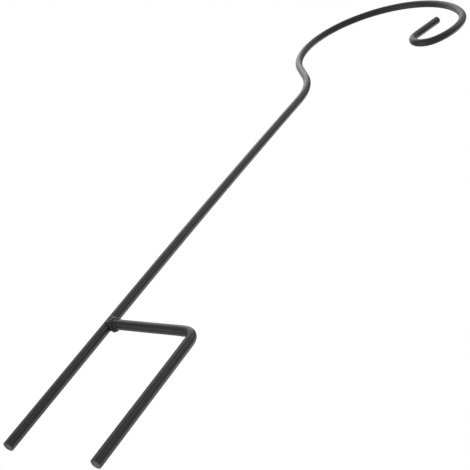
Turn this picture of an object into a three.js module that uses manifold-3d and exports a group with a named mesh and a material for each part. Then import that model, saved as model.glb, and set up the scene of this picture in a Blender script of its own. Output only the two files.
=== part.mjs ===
// Two-prong garden hook for hanging a feeder or a lantern, in millimetres, +Z up.
// One long round bar is bent cold into the pole, a set-back neck, the crook and its curled end.
// A second, short bar is bent into a crossbar and a side prong, and two weld beads, one laid from
// each side, join its square end to the pole. The origin is the middle of the pole's bottom end,
// and +X points from the pole to the side prong.
import * as THREE from "three";
import { mergeVertices } from "three/addons/utils/BufferGeometryUtils.js";
import Module from "manifold-3d";

const wasm = await Module();
wasm.setup();

// Driving dimensions: lengths and radii along the bars' centre lines, angles in degrees.
const ROD_DIAMETER = 10; // both bars are the same stock
const CROSSBAR_HEIGHT = 153.5; // crossbar's centre line above the prong tips
const PRONG_SPACING = 103.5; // pole to side prong, measured at the crossbar
const PRONG_BEND_RADIUS = 12.5;
const PRONG_PAST_SQUARE = 0.9; // the side prong leans back towards the pole
const PRONG_SWING = 1.3; // and swings forwards, out of the hook's plane
const POLE_LENGTH = 593; // from the bottom end to where the neck starts
const STRAIGHT_FOOT = 173.5; // the pole is dead straight up to here
const POLE_LEAN = 2.1; // and leans this much towards the hook by the neck
const NECK_RADIUS = 114.5;
const NECK_TURN = 38.2;
const NECK_LENGTH = 33; // straight stretch between the set-back and the crook
const CROOK_RADIUS = 117.5;
const CROOK_TURN = 188.5;
const CURL_RADIUS = 66.5;
const CURL_TURN = 74;
const CATCH_RADIUS = 21.8; // the tight return bend that holds the hanger
const CATCH_TURN = 155;
const END_LENGTH = 47; // straight end of the bar, inside the curl
const PUDDLE_RADIUS = 2.8; // size of one solidified puddle of a weld bead
// Rows of puddles. A lift is how far a row lies outside the bar's skin, so a negative one is
// inside it. Angles of the rings run down from the top of the crossbar, and out is the distance
// from the pole's middle, less dip at the crossbar's side, where the pole curves away from it.
const ROOT_RING = { out: 6.2, dip: 2.4, lift: -0.6, first: 6, last: 170, puddles: 8 };
const TOE_RING = { out: 8.9, dip: 0.9, lift: -1.4, first: 10, last: 155, puddles: 7 };
const POLE_ROW = { angle: 70, lift: -1.6, low: -4.4, high: 3.6, puddles: 5 };
const CLEARANCE = 0.3; // left between the bars and the beads

// Fineness of the facets.
const ROD_SIDES = 24;
const DEGREES_PER_STEP = 8;
const LEAST_BEND_STEPS = 4;
const PUDDLE_SIDES = 12;
const MERGE_DISTANCE = 1e-4;

const rodRadius = ROD_DIAMETER / 2;
const radians = THREE.MathUtils.degToRad;

// One satin black powder coat covers the bars; over the beads it is a little glossier.
const rodCoat = new THREE.MeshStandardMaterial({ color: 0x262728, roughness: 0.42, metalness: 0.15 });
const beadCoat = new THREE.MeshStandardMaterial({ color: 0x1f2021, roughness: 0.34, metalness: 0.15 });

// A bar's centre line in the XZ plane, as a bender makes it: straights and bends in order.
// A heading of 0 points along +Z, and a positive turn bends it towards +X. Its stations are
// shared out by turn angle, so a straight is one step and a tight bend has as many as a wide one.
class BentRodPath extends THREE.Curve {
  constructor(moves, startHeading = 0) {
    super();
    this.stations = [{ point: new THREE.Vector3(), heading: radians(startHeading) }];
    for (const move of moves) {
      if (move.length !== undefined) this.addStraight(move.length);
      else this.addBend(move.radius, radians(move.turn));
    }
  }

  get last() {
    return this.stations[this.stations.length - 1];
  }

  get steps() {
    return this.stations.length - 1;
  }

  addStraight(length) {
    const { point, heading } = this.last;
    const end = point.clone().addScaledVector(directionOf(heading), length);
    this.stations.push({ point: end, heading });
  }

  addBend(radius, turn) {
    const { point, heading } = this.last;
    const side = Math.sign(turn);
    const toCentre = directionOf(heading + (side * Math.PI) / 2).multiplyScalar(radius);
    const centre = point.clone().add(toCentre);
    const count = Math.max(LEAST_BEND_STEPS, Math.ceil(Math.abs(turn) / radians(DEGREES_PER_STEP)));
    for (let i = 1; i <= count; i++) {
      const here = heading + (turn * i) / count;
      const outwards = directionOf(here - (side * Math.PI) / 2).multiplyScalar(radius);
      this.stations.push({ point: centre.clone().add(outwards), heading: here });
    }
  }

  getPointAt(u) {
    return this.stations[Math.round(u * this.steps)].point.clone();
  }

  getTangentAt(u) {
    return directionOf(this.stations[Math.round(u * this.steps)].heading);
  }
}

function directionOf(heading) {
  return new THREE.Vector3(Math.sin(heading), 0, Math.cos(heading));
}

function roundSection(radius) {
  const corners = [];
  for (let i = 0; i < ROD_SIDES; i++) {
    const angle = (i / ROD_SIDES) * 2 * Math.PI;
    corners.push(new THREE.Vector2(radius * Math.cos(angle), radius * Math.sin(angle)));
  }
  return new THREE.Shape(corners);
}

function sweptRod(path) {
  return new THREE.ExtrudeGeometry(roundSection(rodRadius), { extrudePath: path, steps: path.steps });
}

// Solids for the boolean work on the beads, and back.
function toSolid(geometry) {
  const bare = geometry.clone();
  bare.deleteAttribute("normal");
  bare.deleteAttribute("uv");
  const merged = mergeVertices(bare, MERGE_DISTANCE);
  const vertProperties = merged.getAttribute("position").array;
  const triVerts = new Uint32Array(merged.index.array);
  return new wasm.Manifold(new wasm.Mesh({ numProp: 3, vertProperties, triVerts }));
}

function toGeometry(solid) {
  const mesh = solid.getMesh();
  const geometry = new THREE.BufferGeometry();
  geometry.setAttribute("position", new THREE.BufferAttribute(mesh.vertProperties, 3));
  geometry.setIndex(new THREE.BufferAttribute(mesh.triVerts, 1));
  geometry.computeVertexNormals();
  return geometry;
}

function named(name, geometry, material) {
  const mesh = new THREE.Mesh(geometry, material);
  mesh.name = name;
  return mesh;
}

// The long bar, from the pole's bottom end to the end of the curl.
function mainRod() {
  const path = new BentRodPath([
    { length: STRAIGHT_FOOT },
    { radius: (POLE_LENGTH - STRAIGHT_FOOT) / radians(POLE_LEAN), turn: POLE_LEAN },
    { radius: NECK_RADIUS, turn: -NECK_TURN },
    { length: NECK_LENGTH },
    { radius: CROOK_RADIUS, turn: CROOK_TURN },
    { radius: CURL_RADIUS, turn: CURL_TURN },
    { radius: CATCH_RADIUS, turn: CATCH_TURN },
    { length: END_LENGTH },
  ]);
  return named("main_rod", sweptRod(path), rodCoat);
}

// The short bar: it butts against the pole with its square end and turns down into the prong.
function prongRod() {
  const turn = 90 + PRONG_PAST_SQUARE;
  const setBack = PRONG_BEND_RADIUS * Math.tan(radians(turn) / 2);
  const lean = Math.acos(Math.cos(radians(PRONG_PAST_SQUARE)) * Math.cos(radians(PRONG_SWING)));
  const cornerToTip = (CROSSBAR_HEIGHT - rodRadius * Math.sin(lean)) / Math.cos(lean);
  const startX = rodRadius + CLEARANCE;
  const path = new BentRodPath(
    [
      { length: PRONG_SPACING - startX - setBack },
      { radius: PRONG_BEND_RADIUS, turn },
      { length: cornerToTip - setBack },
    ],
    90,
  );
  const mesh = named("prong_rod", sweptRod(path), rodCoat);
  mesh.position.set(startX, 0, CROSSBAR_HEIGHT);
  mesh.rotation.x = -radians(PRONG_SWING);
  return mesh;
}

// The two bars about their meeting point, with a skin of clearance: the beads are hollowed by it.
function clearanceBars() {
  const radius = rodRadius + CLEARANCE;
  const reach = 4 * ROD_DIAMETER;
  const bar = new THREE.CylinderGeometry(radius, radius, reach, 2 * ROD_SIDES);
  const pole = toSolid(bar.clone().rotateX(Math.PI / 2));
  const crossbar = toSolid(bar.clone().rotateZ(Math.PI / 2).translate(reach / 2 + rodRadius, 0, 0));
  return pole.add(crossbar);
}

// Middles of a bead's puddles, measured from the meeting point of the bars' centre lines.
function ringCentres(ring, side) {
  const centres = [];
  for (let i = 0; i < ring.puddles; i++) {
    const around = radians(ring.first + ((ring.last - ring.first) * i) / (ring.puddles - 1));
    const reach = rodRadius + ring.lift;
    const x = ring.out - ring.dip * Math.sin(around);
    centres.push(new THREE.Vector3(x, side * reach * Math.sin(around), reach * Math.cos(around)));
  }
  return centres;
}

function poleRowCentres(row, side) {
  const centres = [];
  for (let i = 0; i < row.puddles; i++) {
    const reach = rodRadius + row.lift;
    const turn = radians(row.angle);
    const z = row.low + ((row.high - row.low) * i) / (row.puddles - 1);
    centres.push(new THREE.Vector3(reach * Math.cos(turn), side * reach * Math.sin(turn), z));
  }
  return centres;
}

function puddleCentres(side) {
  const rings = [ROOT_RING, TOE_RING].map((ring) => ringCentres(ring, side));
  return [...rings.flat(), ...poleRowCentres(POLE_ROW, side)];
}

// One bead: its puddles run together, on its own side of the hook's plane only.
function weldBead(name, side) {
  let bead = null;
  for (const centre of puddleCentres(side)) {
    const ball = new THREE.SphereGeometry(PUDDLE_RADIUS, PUDDLE_SIDES, (PUDDLE_SIDES * 2) / 3);
    const puddle = toSolid(ball.translate(centre.x, centre.y, centre.z));
    bead = bead ? bead.add(puddle) : puddle;
  }
  const size = 4 * ROD_DIAMETER;
  const ownSide = new THREE.BoxGeometry(size, size, size).translate(0, (side * (size + CLEARANCE)) / 2, 0);
  bead = bead.intersect(toSolid(ownSide)).subtract(clearanceBars());
  const mesh = named(name, toGeometry(bead), beadCoat);
  mesh.position.z = CROSSBAR_HEIGHT;
  return mesh;
}

const gardenHook = new THREE.Group();
gardenHook.add(mainRod(), prongRod());
gardenHook.add(weldBead("weld_bead_front", -1), weldBead("weld_bead_back", 1));

export default gardenHook;
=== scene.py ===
# %% [markdown]
# # A garden hook bent from round steel bar
#
# The real object is about as simple as ironwork gets: a long round bar bent cold into a pole, a
# set-back neck, a crook and a curled end, and a short bar bent into a step and a side prong. Two
# weld beads join them, and one black powder coat covers everything. With so few pieces there is
# nowhere to hide, so the work goes into how a bent bar differs from a perfect tube, how a weld
# looks under paint, and how a satin coat catches the light.
#
# The first cell loads the design model as a fixed frame. Each fine piece made below stands for
# one of its nodes, at the same size and in the same place.

import math

import bpy
from mathutils import Matrix, Vector


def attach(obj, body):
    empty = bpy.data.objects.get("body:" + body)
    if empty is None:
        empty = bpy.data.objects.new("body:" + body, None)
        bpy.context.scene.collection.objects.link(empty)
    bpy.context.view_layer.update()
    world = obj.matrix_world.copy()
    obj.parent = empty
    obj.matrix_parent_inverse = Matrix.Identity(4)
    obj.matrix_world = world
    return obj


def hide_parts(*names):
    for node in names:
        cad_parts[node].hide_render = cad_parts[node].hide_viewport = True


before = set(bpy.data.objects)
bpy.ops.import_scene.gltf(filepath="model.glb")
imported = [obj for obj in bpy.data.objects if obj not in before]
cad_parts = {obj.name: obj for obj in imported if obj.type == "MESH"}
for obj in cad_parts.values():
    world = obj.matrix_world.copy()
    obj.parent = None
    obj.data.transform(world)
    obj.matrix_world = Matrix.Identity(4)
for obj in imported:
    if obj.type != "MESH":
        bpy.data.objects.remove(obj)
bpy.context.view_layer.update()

# %% [markdown]
# ## Sizes
#
# A bender works from a cut list: the bar's size, straights, bend radii and bend angles. The same
# list drives everything here. Blender's lengths are metres, so each one below is written in
# millimetres times MM. The list runs from the ground up, first the step and side prong, then the
# pole, the neck that sets it back, the crook, the curl and the catch that holds the hanger.

# %% The bender's cut list
MM = 0.001

bar_radius = 5 * MM
crossbar_height = 153.5 * MM
prong_spacing = 103.5 * MM
prong_bend_radius = 12.5 * MM
prong_past_square = math.radians(0.9)
prong_swing = math.radians(1.3)

pole_length = 593 * MM
straight_foot = 173.5 * MM
pole_lean = math.radians(2.1)
neck_radius = 114.5 * MM
neck_turn = math.radians(38.2)
neck_length = 33 * MM
crook_radius = 117.5 * MM
crook_turn = math.radians(188.5)
curl_radius = 66.5 * MM
curl_turn = math.radians(74)
catch_radius = 21.8 * MM
catch_turn = math.radians(155)
end_length = 47 * MM
print("bar", 2 * bar_radius / MM, "mm thick, step", crossbar_height / MM, "mm above the prong tips")

# %% [markdown]
# ## Centre lines
#
# A bar's shape is its centre line, and a centre line is a walk: go straight, turn on a radius, go
# straight again. The walk below leaves a station every millimetre or two. Each station keeps its
# place and how tightly the bar bends there, because a bent bar isn't round any more in its
# bends. Close to both ends the stations crowd together, so that the ends can be rounded off.
#
# A curve object with handles could hold the same line, but a list of moves is what the bender
# reads, and it keeps every radius exact.

# %% Walk a centre line
station_gap = 1.5 * MM
bend_step = math.radians(2.5)  # the bar turns no further than this between two stations
# Distances from either end, in millimetres.
end_stations = [0, 0.01, 0.03, 0.06, 0.1, 0.14, 0.2, 0.28, 0.38, 0.5, 0.64, 0.8, 1.0, 1.5]
bend_samples = 4  # on each side of a place, where the bend is averaged


def heading_vector(heading):
    """A heading of 0 is up the pole; a quarter turn points along +X."""
    return Vector((math.sin(heading), 0, math.cos(heading)))


class Walk:
    """A centre line in the plane of the hook, as straights and bends in order."""

    def __init__(self, moves, heading=0.0):
        self.legs = []
        place = Vector((0, 0, 0))
        along = 0.0
        for length, turn in moves:
            self.legs.append((along, place.copy(), heading, length, turn))
            place = self.at_leg(self.legs[-1], length)[0]
            heading += turn
            along += length
        self.length = along

    def at_leg(self, leg, along):
        """Place, heading and bend (one over the radius) at a distance along one leg."""
        _, place, heading, length, turn = leg
        if turn == 0:
            return place + heading_vector(heading) * along, heading, 0.0
        bend = turn / length
        here = heading + bend * along
        side = heading_vector(heading + math.pi / 2)
        side_here = heading_vector(here + math.pi / 2)
        return place + (side - side_here) / bend, here, bend

    def at(self, along):
        leg = [leg for leg in self.legs if leg[0] <= along or leg is self.legs[0]][-1]
        return self.at_leg(leg, along - leg[0])

    def distances(self):
        """Where the stations are: crowded at both ends, close in tight bends, even elsewhere."""
        crowd = [distance * MM for distance in end_stations]
        found = crowd + [self.length - d for d in crowd]
        along = crowd[-1]
        while along < self.length - crowd[-1]:
            bend = abs(self.at(along)[2])
            along += min(station_gap, bend_step / bend if bend else station_gap)
            if along < self.length - crowd[-1] - station_gap / 2:
                found.append(along)
        return sorted(found)

    def mean_bend(self, along, reach):
        """The bend averaged over a short reach, because a bar eases into a bend."""
        steps = range(-bend_samples, bend_samples + 1)
        samples = [along + reach * step / bend_samples for step in steps]
        return sum(self.at(min(max(s, 0), self.length))[2] for s in samples) / len(samples)


def straight(length):
    """A leg of a walk is its length and its turn."""
    return length, 0.0


def bend(radius, turn):
    return radius * abs(turn), turn


pole_walk = Walk([
    straight(straight_foot),
    (pole_length - straight_foot, pole_lean),
    bend(neck_radius, -neck_turn),
    straight(neck_length),
    bend(crook_radius, crook_turn),
    bend(curl_radius, curl_turn),
    bend(catch_radius, catch_turn),
    straight(end_length),
])
print("bar cut for the pole and hook:", round(pole_walk.length / MM), "mm")

# %% Put a centre line in a mesh
# Metal squeezed out of a tight bend gathers beside it, where the bend averaged over a wide reach
# is more than the bend averaged over a near one.
near_reach = 1.5 * MM
wide_reach = 6 * MM


def new_object(name, data):
    made = bpy.data.objects.new(name, data)
    bpy.context.scene.collection.objects.link(made)
    return made


def centre_line(name, walk):
    """A string of edges, with the bend and the squeeze stored at each vertex."""
    distances = walk.distances()
    mesh = bpy.data.meshes.new(name + " centre line")
    places = [walk.at(d)[0] for d in distances]
    mesh.from_pydata(places, [(i, i + 1) for i in range(len(places) - 1)], [])
    bends = [walk.mean_bend(d, bar_radius) for d in distances]
    mesh.attributes.new("bend", "FLOAT", "POINT").data.foreach_set("value", bends)
    wide = [abs(walk.mean_bend(d, wide_reach)) for d in distances]
    near = [abs(walk.mean_bend(d, near_reach)) for d in distances]
    squeezes = [max(w - n, 0) for w, n in zip(wide, near)]
    mesh.attributes.new("squeeze", "FLOAT", "POINT").data.foreach_set("value", squeezes)
    print(name, "has", len(places), "stations")
    return new_object(name, mesh)


# %% [markdown]
# ## Helpers for building node trees
#
# Geometry Nodes and shader nodes are wired the same way, so a few helpers serve both. Most of
# them add a node, feed its inputs and hand back its output, which lets a tree read like a sum.

# %% Wire nodes
def feed(tree, socket, value):
    """Links a socket if value is one, otherwise sets it."""
    if isinstance(value, bpy.types.NodeSocket):
        tree.links.new(value, socket)
    elif value is not None:
        socket.default_value = value


def add(tree, kind, inputs=None, **settings):
    """Adds a node, changes its settings and feeds its inputs."""
    node = tree.nodes.new(kind)
    for name, value in settings.items():
        setattr(node, name, value)
    for name, value in (inputs or {}).items():
        feed(tree, node.inputs[name], value)
    return node


def math_of(tree, operation, *values):
    node = tree.nodes.new("ShaderNodeMath")
    node.operation = operation
    for socket, value in zip(node.inputs, values):
        feed(tree, socket, value)
    return node.outputs[0]


def clamped(tree, value):
    """The value, but never below 0 or above 1."""
    return math_of(tree, "MINIMUM", math_of(tree, "MAXIMUM", value, 0.0), 1.0)


def vector_of(tree, operation, *values):
    node = tree.nodes.new("ShaderNodeVectorMath")
    node.operation = operation
    vectors = values[:-1] if operation == "SCALE" else values
    for socket, value in zip(node.inputs, vectors):
        feed(tree, socket, value)
    if operation == "SCALE":
        feed(tree, node.inputs["Scale"], values[-1])
    return node.outputs["Value" if operation == "DOT_PRODUCT" else "Vector"]


def noise_of(tree, where, per_metre, detail, roughness):
    """Soft random values round 0.5, with about per_metre lumps in a metre."""
    node = add(tree, "ShaderNodeTexNoise", {"Vector": where, "Scale": per_metre,
                                            "Detail": detail, "Roughness": roughness})
    return node.outputs["Fac"]


# %% A tree with named inputs, and how to run it
def piece_tree(name, sizes):
    """A Geometry Nodes tree with named sizes, and a last input for the coat of paint."""
    tree = bpy.data.node_groups.new(name, "GeometryNodeTree")
    face = tree.interface
    face.new_socket("Geometry", in_out="INPUT", socket_type="NodeSocketGeometry")
    for label, value in sizes.items():
        kind = "NodeSocketInt" if isinstance(value, int) else "NodeSocketFloat"
        face.new_socket(label, in_out="INPUT", socket_type=kind).default_value = value
    face.new_socket("Coat", in_out="INPUT", socket_type="NodeSocketMaterial")
    face.new_socket("Geometry", in_out="OUTPUT", socket_type="NodeSocketGeometry")
    return tree, tree.nodes.new("NodeGroupInput").outputs, tree.nodes.new("NodeGroupOutput").inputs


def run_tree(carrier, tree, values):
    """Runs the tree on the carrier and keeps the result as its plain mesh."""
    modifier = carrier.modifiers.new(tree.name, "NODES")
    modifier.node_group = tree
    inputs = [item for item in tree.interface.items_tree if item.in_out == "INPUT"]
    identifiers = {item.name: item.identifier for item in inputs}
    for label, value in values.items():
        modifier[identifiers[label]] = value
    depsgraph = bpy.context.evaluated_depsgraph_get()
    grown = carrier.evaluated_get(depsgraph)
    mesh = bpy.data.meshes.new_from_object(grown, depsgraph=depsgraph)
    carrier.modifiers.remove(modifier)
    carrier.data = mesh
    mesh.name = carrier.name
    mesh.calc_loop_triangles()
    print(carrier.name, "has", len(mesh.loop_triangles), "triangles")
    return carrier


# %% [markdown]
# ## The bent bar
#
# A round bar bent cold on a former stays round only in its straights. In a bend the outside is
# stretched, so it flattens, and the inside is squeezed, so it spreads sideways. The tighter the
# bend, the more it shows: hardly at all in the crook, plainly where the side prong turns down.
# The saw leaves the bar's ends square, with the edge taken off by the tumbler and the paint.
#
# A beveled curve would sweep the same circle everywhere. The tree below sweeps the circle too,
# but it remembers the centre of every ring, and afterwards moves each point relative to it:
# flatter outside, fuller inside, and very slightly wavy, as rolled bar is.

# %% The bent bar's tree
bar_tree, size, result = piece_tree("bent round bar", {
    "Bar radius": bar_radius,
    "Ring points": 56,
    "Edge round": 0.55 * MM,
    "End crown": 0.1 * MM,
    "Outside flattening": 0.08,
    "Inside spread": 0.2,
    "Squeeze bulge": 0.5,
    "Wave height": 0.035 * MM,
    "Waves per metre": 45.0,
})

spline = add(bar_tree, "GeometryNodeMeshToCurve", {"Mesh": size["Geometry"]})
keep = add(bar_tree, "GeometryNodeCaptureAttribute", {"Geometry": spline.outputs[0]})
bend_here = add(bar_tree, "GeometryNodeInputNamedAttribute", {"Name": "bend"})
squeeze_here = add(bar_tree, "GeometryNodeInputNamedAttribute", {"Name": "squeeze"})
kept = {
    "Centre": ("VECTOR", add(bar_tree, "GeometryNodeInputPosition").outputs[0]),
    "Along": ("VECTOR", add(bar_tree, "GeometryNodeInputTangent").outputs[0]),
    "Bend": ("FLOAT", bend_here.outputs["Attribute"]),
    "Squeeze": ("FLOAT", squeeze_here.outputs["Attribute"]),
}
for label, (kind, source) in kept.items():
    keep.capture_items.new(kind, label)
    feed(bar_tree, keep.inputs[label], source)

# Radius along the bar: nothing at the very end, then a slightly crowned face, then the rounded
# edge, then the full bar.
walked = add(bar_tree, "GeometryNodeSplineParameter").outputs["Length"]
whole = add(bar_tree, "GeometryNodeSplineLength").outputs["Length"]
from_end = math_of(bar_tree, "MINIMUM", walked, math_of(bar_tree, "SUBTRACT", whole, walked))
face_radius = math_of(bar_tree, "SUBTRACT", size["Bar radius"], size["Edge round"])
face_share = clamped(bar_tree, math_of(bar_tree, "DIVIDE", from_end, size["End crown"]))
on_face = math_of(bar_tree, "MULTIPLY", face_radius, math_of(bar_tree, "SQRT", face_share))
past_face = math_of(bar_tree, "SUBTRACT", from_end, size["End crown"])
edge_share = clamped(bar_tree, math_of(bar_tree, "DIVIDE", past_face, size["Edge round"]))
edge_left = math_of(bar_tree, "SUBTRACT", 1.0, edge_share)
edge_lift = math_of(bar_tree, "SUBTRACT", 1.0, math_of(bar_tree, "MULTIPLY", edge_left, edge_left))
edge_lift = math_of(bar_tree, "SQRT", edge_lift)
radius_here = math_of(bar_tree, "MULTIPLY_ADD", size["Edge round"], edge_lift, on_face)

ring = add(bar_tree, "GeometryNodeCurvePrimitiveCircle",
           {"Resolution": size["Ring points"], "Radius": 1.0})
swept = add(bar_tree, "GeometryNodeCurveToMesh",
            {"Curve": keep.outputs["Geometry"], "Profile Curve": ring.outputs[0],
             "Scale": radius_here})

# %% How a bend changes the section
# A spoke goes from the ring's centre to the point. It is split into a part towards the inside of
# the bend and a part sideways, out of the plane of the hook.
across = (0, 1, 0)
bent = keep.outputs["Bend"]
place = add(bar_tree, "GeometryNodeInputPosition").outputs[0]
spoke = vector_of(bar_tree, "SUBTRACT", place, keep.outputs["Centre"])
inwards = vector_of(bar_tree, "CROSS_PRODUCT", across, keep.outputs["Along"])
inwards = vector_of(bar_tree, "SCALE", inwards, math_of(bar_tree, "SIGN", bent))
in_plane = vector_of(bar_tree, "DOT_PRODUCT", spoke, inwards)
sideways = vector_of(bar_tree, "DOT_PRODUCT", spoke, across)
tightness = math_of(bar_tree, "MULTIPLY", math_of(bar_tree, "ABSOLUTE", bent), size["Bar radius"])
outer = math_of(bar_tree, "MINIMUM", in_plane, 0.0)
outer_move = math_of(bar_tree, "MULTIPLY", outer, tightness)
outer_move = math_of(bar_tree, "MULTIPLY", outer_move, size["Outside flattening"])
inner_share = math_of(bar_tree, "DIVIDE", in_plane, size["Bar radius"])
side_move = math_of(bar_tree, "MULTIPLY", sideways, inner_share)
side_move = math_of(bar_tree, "MULTIPLY", side_move, tightness)
side_move = math_of(bar_tree, "MULTIPLY", side_move, size["Inside spread"])
inner = math_of(bar_tree, "MAXIMUM", in_plane, 0.0)
bulge = math_of(bar_tree, "MULTIPLY", inner, size["Bar radius"])
bulge = math_of(bar_tree, "MULTIPLY", bulge, keep.outputs["Squeeze"])
bulge = math_of(bar_tree, "MULTIPLY", bulge, size["Squeeze bulge"])
in_plane_move = math_of(bar_tree, "SUBTRACT", bulge, outer_move)
flatten = vector_of(bar_tree, "SCALE", inwards, in_plane_move)
spread = vector_of(bar_tree, "SCALE", across, side_move)
shaped = add(bar_tree, "GeometryNodeSetPosition",
             {"Geometry": swept.outputs[0],
              "Offset": vector_of(bar_tree, "ADD", flatten, spread)})


# %% Waves and a clean end to the tree
merge_distance = 0.0002 * MM  # the point rings at the very ends become one point each


def roughened(tree, geometry, lumps_per_metre, height, detail, roughness):
    """Moves a skin in and out along its normals by noise, up to about the height."""
    where = add(tree, "GeometryNodeInputPosition").outputs[0]
    noise = noise_of(tree, where, lumps_per_metre, detail, roughness)
    swing = math_of(tree, "SUBTRACT", noise, 0.5)
    swing = math_of(tree, "MULTIPLY", swing, math_of(tree, "MULTIPLY", height, 2.0))
    normal = add(tree, "GeometryNodeInputNormal").outputs["Normal"]
    offset = vector_of(tree, "SCALE", normal, swing)
    return add(tree, "GeometryNodeSetPosition", {"Geometry": geometry, "Offset": offset})


def close_tree(tree, geometry, coat, output):
    """The last nodes of a piece: smooth shading, real geometry and its coat of paint."""
    smooth = add(tree, "GeometryNodeSetShadeSmooth", {"Geometry": geometry})
    real = add(tree, "GeometryNodeRealizeInstances", {"Geometry": smooth.outputs[0]})
    painted = add(tree, "GeometryNodeSetMaterial", {"Geometry": real.outputs[0], "Material": coat})
    feed(tree, output, painted.outputs[0])
    print(tree.name, "tree:", len(tree.nodes), "nodes")


wavy = roughened(bar_tree, shaped.outputs[0], size["Waves per metre"],
                 size["Wave height"], detail=2.0, roughness=0.55)
closed = add(bar_tree, "GeometryNodeMergeByDistance",
             {"Geometry": wavy.outputs[0], "Distance": merge_distance})
close_tree(bar_tree, closed.outputs[0], size["Coat"], result[0])

# %% [markdown]
# ## The powder coat
#
# Powder coat is a plastic skin baked on the steel. From arm's length it is satin black; close up
# it has the fine dimples called orange peel, and it is a touch glossier where it pooled and
# duller where hands and cartons rubbed it. Two shader groups hold those effects, because the
# bars and the beads both use them, each with its own amounts. The prong tips get a painted
# highlight: their end faces are painted a lighter grey that stands in for the light they catch.
# Their height above the ground is the mask for that, so both bars share one paint.
#
# An image of a painted surface could be wrapped on, but it would repeat and blur. Noise in the
# object's own coordinates has the right size everywhere and no seams.

# %% Orange peel group
def shader_group(name, inputs, outputs):
    tree = bpy.data.node_groups.new(name, "ShaderNodeTree")
    for label, value in inputs.items():
        socket = tree.interface.new_socket(label, in_out="INPUT", socket_type="NodeSocketFloat")
        socket.default_value = value
    for label in outputs:
        tree.interface.new_socket(label, in_out="OUTPUT", socket_type="NodeSocketFloat")
    return tree, tree.nodes.new("NodeGroupInput").outputs, tree.nodes.new("NodeGroupOutput").inputs


peel, peel_in, peel_out = shader_group(
    "orange peel", {"Dimples per metre": 700.0, "Grain share": 0.3}, ["Height"])
spot = add(peel, "ShaderNodeTexCoord").outputs["Object"]
dimples = noise_of(peel, spot, peel_in["Dimples per metre"], detail=1.0, roughness=0.4)
grains_per_metre = math_of(peel, "MULTIPLY", peel_in["Dimples per metre"], 4.5)
grain = noise_of(peel, spot, grains_per_metre, detail=1.0, roughness=0.5)
height = math_of(peel, "MULTIPLY_ADD", grain, peel_in["Grain share"], dimples)
feed(peel, peel_out["Height"], height)
print(peel.name, "group:", len(peel.nodes), "nodes")

# %% Rubbed patches group
rub, rub_in, rub_out = shader_group(
    "rubbed patches", {"Patches per metre": 28.0, "Cover": 0.45, "Softness": 0.25}, ["Mask"])
spot = add(rub, "ShaderNodeTexCoord").outputs["Object"]
patches = noise_of(rub, spot, rub_in["Patches per metre"], detail=4.0, roughness=0.62)
low = math_of(rub, "SUBTRACT", 1.0, rub_in["Cover"])
above = math_of(rub, "SUBTRACT", patches, low)
mask = clamped(rub, math_of(rub, "DIVIDE", above, rub_in["Softness"]))
feed(rub, rub_out["Mask"], mask)
print(rub.name, "group:", len(rub.nodes), "nodes")

# %% Painted highlight on the prong tips
# Painted highlight: the end faces of the prong tips are painted a lighter grey for the light they
# catch.
tip_highlight_grey = (0.09, 0.09, 0.091)
tip_highlight_full_below = 0.15 * MM  # below this height the tips are fully painted the lighter grey of the painted highlight
tip_highlight_none_above = 0.45 * MM  # and above this one none of it is
least_tip_highlight = 0.3  # how much of the lighter grey stays where the speckle noise is low


def mapped(tree, value, start, end, start_result, end_result):
    """The value mapped from one range to another, and held at the range's ends."""
    node = add(tree, "ShaderNodeMapRange", {"Value": value, "From Min": start, "From Max": end,
                                            "To Min": start_result, "To Max": end_result})
    return node.outputs["Result"]


def colour_mix(tree, share, first, second):
    """The first colour where share is 0, and the second one where it is 1."""
    node = add(tree, "ShaderNodeMix", data_type="RGBA")
    first_socket, second_socket = node.inputs[6], node.inputs[7]  # the pair meant for colours
    feed(tree, node.inputs["Factor"], share)
    feed(tree, first_socket, first)
    feed(tree, second_socket, second)
    return node.outputs[2]


def painted_tip_highlight(tree, coat_colour):
    """Paints the coat on the prong tips a lighter grey: a painted highlight for the light their end
    faces catch.
    """
    spot = add(tree, "ShaderNodeTexCoord").outputs["Object"]
    level = add(tree, "ShaderNodeSeparateXYZ", {"Vector": spot}).outputs["Z"]
    at_tip = mapped(tree, level, tip_highlight_full_below, tip_highlight_none_above, 1.0, 0.0)
    tip_speckle = noise_of(tree, spot, 700.0, detail=3.0, roughness=0.6)
    speckle_share = mapped(tree, tip_speckle, 0.4, 0.6, least_tip_highlight, 1.0)
    share = math_of(tree, "MULTIPLY", at_tip, speckle_share)
    return colour_mix(tree, share, coat_colour, (*tip_highlight_grey, 1))


# %% A coat material from both groups
dimple_depth = 0.006 * MM


def coat_material(name, colour, rubbed_colour, roughness, rubbed_roughness, dimples_per_metre):
    """A black coat: the smaller its roughness, the glossier it is."""
    material = bpy.data.materials.new(name)
    material.use_nodes = True
    tree = material.node_tree
    shader = tree.nodes["Principled BSDF"]
    peel_node = add(tree, "ShaderNodeGroup", node_tree=peel)
    peel_node.inputs["Dimples per metre"].default_value = dimples_per_metre
    rub_node = add(tree, "ShaderNodeGroup", node_tree=rub)
    rubbed = rub_node.outputs["Mask"]
    tint = colour_mix(tree, rubbed, (*colour, 1), (*rubbed_colour, 1))
    # The base colour carries the painted highlight on the prong tips.
    feed(tree, shader.inputs["Base Color"], painted_tip_highlight(tree, tint))
    duller = rubbed_roughness - roughness
    feed(tree, shader.inputs["Roughness"], math_of(tree, "MULTIPLY_ADD", rubbed, duller, roughness))
    bump = add(tree, "ShaderNodeBump", {"Strength": 1.0, "Distance": dimple_depth,
                                        "Height": peel_node.outputs["Height"]})
    feed(tree, shader.inputs["Normal"], bump.outputs["Normal"])
    shader.inputs["IOR"].default_value = 1.5
    print(name, "has", len(tree.nodes), "nodes")
    return material


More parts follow.
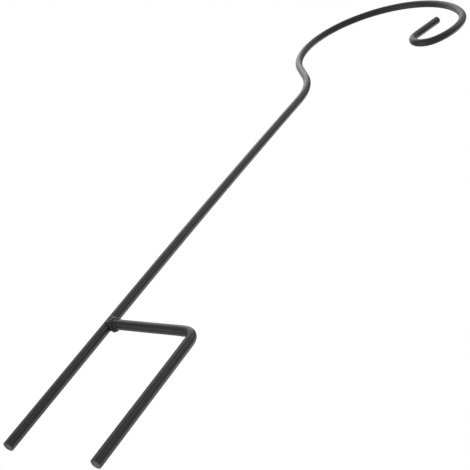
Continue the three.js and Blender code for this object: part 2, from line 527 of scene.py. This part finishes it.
bar_coat = coat_material("satin black powder coat",
                         colour=(0.022, 0.023, 0.024), rubbed_colour=(0.030, 0.031, 0.032),
                         roughness=0.36, rubbed_roughness=0.44, dimples_per_metre=700.0)
bead_coat = coat_material("powder coat over the weld",
                          colour=(0.016, 0.017, 0.018), rubbed_colour=(0.022, 0.023, 0.024),
                          roughness=0.2, rubbed_roughness=0.3, dimples_per_metre=900.0)

# %% [markdown]
# ## The two bars
#
# Both bars come off the same tree. The long one stands in the plane of the hook. The short one
# is walked from the pole outwards, then swung a little out of that plane, as the real prong is.
# Its square end runs on into the pole's skin, where the weld hides it.

# %% Long bar
def finish_piece(piece, node):
    """Hangs a piece on the root, hides the node it stands for, and prints the piece's box."""
    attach(piece, "root")
    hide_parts(node)
    low = [min(v.co[i] for v in piece.data.vertices) / MM for i in range(3)]
    high = [max(v.co[i] for v in piece.data.vertices) / MM for i in range(3)]
    print(piece.name, "spans", [round(v, 1) for v in low], "to", [round(v, 1) for v in high])


long_bar = run_tree(centre_line("long_bar", pole_walk), bar_tree, {"Coat": bar_coat})
finish_piece(long_bar, "main_rod")

# %% Short bar
run_in = 1.0 * MM  # how far the square end reaches into the pole's skin
corner_turn = math.pi / 2 + prong_past_square
corner_reach = prong_bend_radius * math.tan(corner_turn / 2)
prong_slope = math.acos(math.cos(prong_past_square) * math.cos(prong_swing))
corner_to_tip = (crossbar_height - bar_radius * math.sin(prong_slope)) / math.cos(prong_slope)
bar_start = bar_radius - run_in

prong_walk = Walk([
    straight(prong_spacing - bar_start - corner_reach),
    bend(prong_bend_radius, corner_turn),
    straight(corner_to_tip - corner_reach),
], heading=math.pi / 2)
print("bar cut for the step and side prong:", round(prong_walk.length / MM), "mm")

short_bar = run_tree(centre_line("short_bar", prong_walk), bar_tree, {"Coat": bar_coat})
swing = Matrix.Translation((bar_start, 0, crossbar_height)) @ Matrix.Rotation(-prong_swing, 4, "X")
short_bar.data.transform(swing)
finish_piece(short_bar, "prong_rod")

# %% [markdown]
# ## The weld beads
#
# Equal round bars meet badly: the square end touches the pole along one line only, and the
# welder fills the notch on each side. The torch moves in short steps, so the bead is a row of
# small puddles that froze one on another, and the paint rounds them over.
#
# Balls of uneven size could be joined with booleans, but that leaves sharp creases. The tree
# below puts points along the seam instead, turns them into a volume, where neighbours melt
# together, and takes a skin off it. Fine noise then roughens the skin.

# %% The weld bead's tree
bead_tree, size, result = piece_tree("weld bead", {
    "Puddle radius": 2.8 * MM,
    "Puddle pitch": 2.4 * MM,
    "Size spread": 0.18,
    "Voxel": 0.2 * MM,
    "Skin level": 0.4,
    "Melt steps": 3,
    "Skin height": 0.4 * MM,
    "Skin lumps per metre": 300.0,
    "Seed": 3,
})
rows = add(bead_tree, "GeometryNodeMeshToCurve", {"Mesh": size["Geometry"]})
puddle_row = add(bead_tree, "GeometryNodeCurveToPoints",
                 {"Curve": rows.outputs[0], "Length": size["Puddle pitch"]}, mode="LENGTH")
uneven = add(bead_tree, "FunctionNodeRandomValue", data_type="FLOAT")
least, most = uneven.inputs[2], uneven.inputs[3]  # the node has other pairs, for other types
feed(bead_tree, least, math_of(bead_tree, "SUBTRACT", 1.0, size["Size spread"]))
feed(bead_tree, most, math_of(bead_tree, "ADD", 1.0, size["Size spread"]))
feed(bead_tree, uneven.inputs["Seed"], size["Seed"])
puddle = math_of(bead_tree, "MULTIPLY", uneven.outputs[1], size["Puddle radius"])
melt = add(bead_tree, "GeometryNodePointsToVolume",
           {"Points": puddle_row.outputs["Points"], "Radius": puddle, "Voxel Size": size["Voxel"]},
           resolution_mode="VOXEL_SIZE")
skin = add(bead_tree, "GeometryNodeVolumeToMesh",
           {"Volume": melt.outputs[0], "Voxel Size": size["Voxel"],
            "Threshold": size["Skin level"]},
           resolution_mode="VOXEL_SIZE")
soften = add(bead_tree, "GeometryNodeBlurAttribute",
             {"Iterations": size["Melt steps"]}, data_type="FLOAT_VECTOR")
feed(bead_tree, soften.inputs[0], add(bead_tree, "GeometryNodeInputPosition").outputs[0])
melted = add(bead_tree, "GeometryNodeSetPosition",
             {"Geometry": skin.outputs[0], "Position": soften.outputs[0]})
rough = roughened(bead_tree, melted.outputs[0], size["Skin lumps per metre"],
                  size["Skin height"], detail=2.0, roughness=0.5)
close_tree(bead_tree, rough.outputs[0], size["Coat"], result[0])

# %% [markdown]
# ## Where the puddles lie
#
# Each bead has three rows: one up the pole beside the crossbar, one round the crossbar close to
# the pole, and one further out along the crossbar, which is the bead's toe. Each row could be a
# curve drawn by hand, but it always follows the skin of one of the bars, so a few distances and
# angles say where it goes. They are measured from the meeting point of the two centre lines, in
# millimetres and degrees.

# %% Rows of puddles
def around_crossbar(side, out, dip, lifts, angles, count=12):
    """Part of a ring round the crossbar, by angles counted down from the top of the bar: out is
    the distance from the pole's middle, less dip at the bar's side, where the pole curves away,
    and the two lifts are how far the row lies outside the bar's skin at its start and its end."""
    places = []
    for step in range(count + 1):
        share = step / count
        angle = math.radians(angles[0] + (angles[1] - angles[0]) * share)
        reach = bar_radius + (lifts[0] + (lifts[1] - lifts[0]) * share) * MM
        x = (out - dip * math.sin(angle)) * MM
        places.append(Vector((x, side * reach * math.sin(angle), reach * math.cos(angle))))
    return places


def up_pole(side, angle, lift, heights, count=6):
    """A row up the pole's skin: the angle is counted from the crossbar round to the side."""
    reach = bar_radius + lift * MM
    turn = math.radians(angle)
    low, high = heights
    levels = [(low + (high - low) * step / count) * MM for step in range(count + 1)]
    return [Vector((reach * math.cos(turn), side * reach * math.sin(turn), z)) for z in levels]


def seam(name, rows):
    """All rows of a bead in one mesh of edges, ready to be filled with puddles."""
    mesh = bpy.data.meshes.new(name + " seam")
    places, edges = [], []
    for row in rows:
        edges += [(len(places) + i, len(places) + i + 1) for i in range(len(row) - 1)]
        places += [place + Vector((0, 0, crossbar_height)) for place in row]
    mesh.from_pydata(places, edges, [])
    return new_object(name, mesh)


# %% The two beads
front, back = -1, 1  # sides of the hook's plane, along Y
front_rows = [
    up_pole(front, angle=64, lift=-1.8, heights=(-3.2, 3.8)),
    around_crossbar(front, out=6.6, dip=2.6, lifts=(-0.6, -1.0), angles=(4, 160)),
    around_crossbar(front, out=10.4, dip=1.0, lifts=(-1.6, -1.4), angles=(8, 150)),
]
back_rows = [
    up_pole(back, angle=66, lift=-1.7, heights=(-3.6, 3.4)),
    around_crossbar(back, out=6.6, dip=2.0, lifts=(-0.9, -0.3), angles=(8, 160)),
    around_crossbar(back, out=8.4, dip=0.6, lifts=(-1.8, -0.4), angles=(30, 150)),
]
front_bead = run_tree(seam("front_bead", front_rows), bead_tree, {"Coat": bead_coat, "Seed": 3})
finish_piece(front_bead, "weld_bead_front")
back_bead = run_tree(seam("back_bead", back_rows), bead_tree, {"Coat": bead_coat, "Seed": 8})
finish_piece(back_bead, "weld_bead_back")

# %% [markdown]
# ## Floor
#
# The hook stands on a plain pale floor. The camera of the main view lies low and looks up past
# the prongs along the pole, from under the floor's level, so the floor is made one-sided: seen
# from below it isn't there. It also casts no shadow and throws no light on the hook, because the
# panels that stand lower than the floor have to shine through it.

# %% Floor
floor_side = 24.0  # metres
reach = floor_side / 2
floor_mesh = bpy.data.meshes.new("floor")
floor_corners = [(-reach, -reach, 0), (reach, -reach, 0), (reach, reach, 0), (-reach, reach, 0)]
floor_mesh.from_pydata(floor_corners, [], [(0, 1, 2, 3)])
floor = new_object("floor", floor_mesh)
floor_paint = bpy.data.materials.new("pale floor")
floor_paint.use_nodes = True
tree = floor_paint.node_tree
shader = tree.nodes["Principled BSDF"]
shader.inputs["Base Color"].default_value = (0.82, 0.82, 0.82, 1)
shader.inputs["Roughness"].default_value = 0.7
seen_through = add(tree, "ShaderNodeBsdfTransparent")
under = add(tree, "ShaderNodeNewGeometry").outputs["Backfacing"]
one_sided = add(tree, "ShaderNodeMixShader",
                {0: under, 1: shader.outputs[0], 2: seen_through.outputs[0]})
feed(tree, tree.nodes["Material Output"].inputs["Surface"], one_sided.outputs[0])
floor_mesh.materials.append(floor_paint)
floor.visible_diffuse = False
floor.visible_glossy = False
floor.visible_shadow = False
print("floor", floor_side, "m wide")

# %% [markdown]
# ## Light
#
# A black rod shows hardly any colour of its own. What is seen on it is the room: pale walls all
# round, and large soft panels whose reflections run along the rod as lighter bands. Each panel
# below is a sun lamp with a wide disc, so its band has soft edges and stays the same along the
# whole rod. One more panel, close to the neck, lifts the neck out of the dark.
#
# What the camera sees behind the hook is a paper sweep: as grey as the floor up to a little above
# the horizon, so that no line shows where they meet, then paling to white. The rod's reflections
# show the even room instead.
#
# A picture of a studio could be wrapped round the scene instead. A few named panels say the same
# thing, and each can be moved or dimmed by itself.

# %% The room
room_brightness = 0.43
paper_grey = 0.65
paper_white = 1.0
grey_up_to = 0.05  # both heights are sines of the angle above the horizon
white_from = 0.32

world = bpy.data.worlds.new("studio")
bpy.context.scene.world = world
world.use_nodes = True
tree = world.node_tree
tree.nodes.clear()
direction = add(tree, "ShaderNodeTexCoord").outputs["Generated"]
height = add(tree, "ShaderNodeSeparateXYZ", {"Vector": direction}).outputs["Z"]
paper = mapped(tree, height, grey_up_to, white_from, paper_grey, paper_white)
backdrop = add(tree, "ShaderNodeBackground", {"Color": (1, 1, 1, 1), "Strength": paper})
room = add(tree, "ShaderNodeBackground", {"Color": (1, 1, 1, 1), "Strength": room_brightness})
camera_sees = add(tree, "ShaderNodeLightPath").outputs["Is Camera Ray"]
both = add(tree, "ShaderNodeMixShader",
           {0: camera_sees, 1: room.outputs[0], 2: backdrop.outputs[0]})
add(tree, "ShaderNodeOutputWorld", {"Surface": both.outputs[0]})
print("room brightness", room_brightness, "and paper from", paper_grey, "to", paper_white)


# %% Soft panels, far away
def far_panel(name, towards, width, brightness):
    """A round panel in a direction: width is the angle it fills, in degrees, and brightness is
    the panel's own, whatever its width."""
    lamp = bpy.data.lights.new(name, "SUN")
    lamp.angle = math.radians(width)
    lamp.energy = brightness * math.pi * math.sin(lamp.angle / 2) ** 2
    holder = new_object(name, lamp)
    holder.rotation_mode = "QUATERNION"
    holder.rotation_quaternion = Vector(towards).to_track_quat("Z", "Y")
    print(name, "lights with", round(lamp.energy, 2), "W per square metre")


far_panel("key panel", (-0.43, -0.31, 0.85), width=45, brightness=1.1)
far_panel("back panel", (0.46, 0.65, 0.60), width=42, brightness=1.45)
far_panel("front panel", (0.45, -0.53, 0.72), width=38, brightness=1.0)
far_panel("left panel", (-0.57, -0.62, 0.54), width=34, brightness=0.8)
far_panel("low panel", (-0.42, -0.30, -0.86), width=42, brightness=0.9)
far_panel("low back panel", (-0.42, 0.66, -0.62), width=36, brightness=0.9)

# %% Soft panel close to the neck
neck_place = Vector((-28, 0, 690)) * MM
neck_panel_place = Vector((-330, -60, 1000)) * MM
neck_panel = bpy.data.lights.new("neck panel", "AREA")
neck_panel.shape = "DISK"
neck_panel.size = 560 * MM
neck_panel.energy = 0.62
holder = new_object("neck panel", neck_panel)
holder.location = neck_panel_place
holder.rotation_mode = "QUATERNION"
holder.rotation_quaternion = (neck_panel_place - neck_place).to_track_quat("Z", "Y")
holder.visible_camera = False
print("neck panel", round((neck_panel_place - neck_place).length / MM), "mm from the neck")

# %% [markdown]
# ## Camera
#
# The camera is in front of the side prong and below the floor's level, looking up along the
# hook, and it is rolled over so that the pole runs from one corner of the frame to the other.

# %% Camera
camera_place = Vector((529.57, -418.40, -256.41)) * MM
look_direction = Vector((-0.554696, 0.501549, 0.663898)).normalized()
camera_roll = math.radians(36.985)
level = look_direction.cross(Vector((0, 0, 1))).normalized()
upright = level.cross(look_direction)
right = level * math.cos(camera_roll) + upright * math.sin(camera_roll)
up = right.cross(look_direction)

lens = bpy.data.cameras.new("camera")
lens.sensor_width = 36
lens.lens = 61.889
camera = new_object("camera", lens)
turned = Matrix((right, up, -look_direction)).transposed().to_4x4()
camera.matrix_world = Matrix.Translation(camera_place) @ turned
bpy.context.scene.camera = camera
print("camera at", [round(v / MM) for v in camera_place], "mm, lens", lens.lens)

bpy.context.scene.view_settings.view_transform = "Standard"
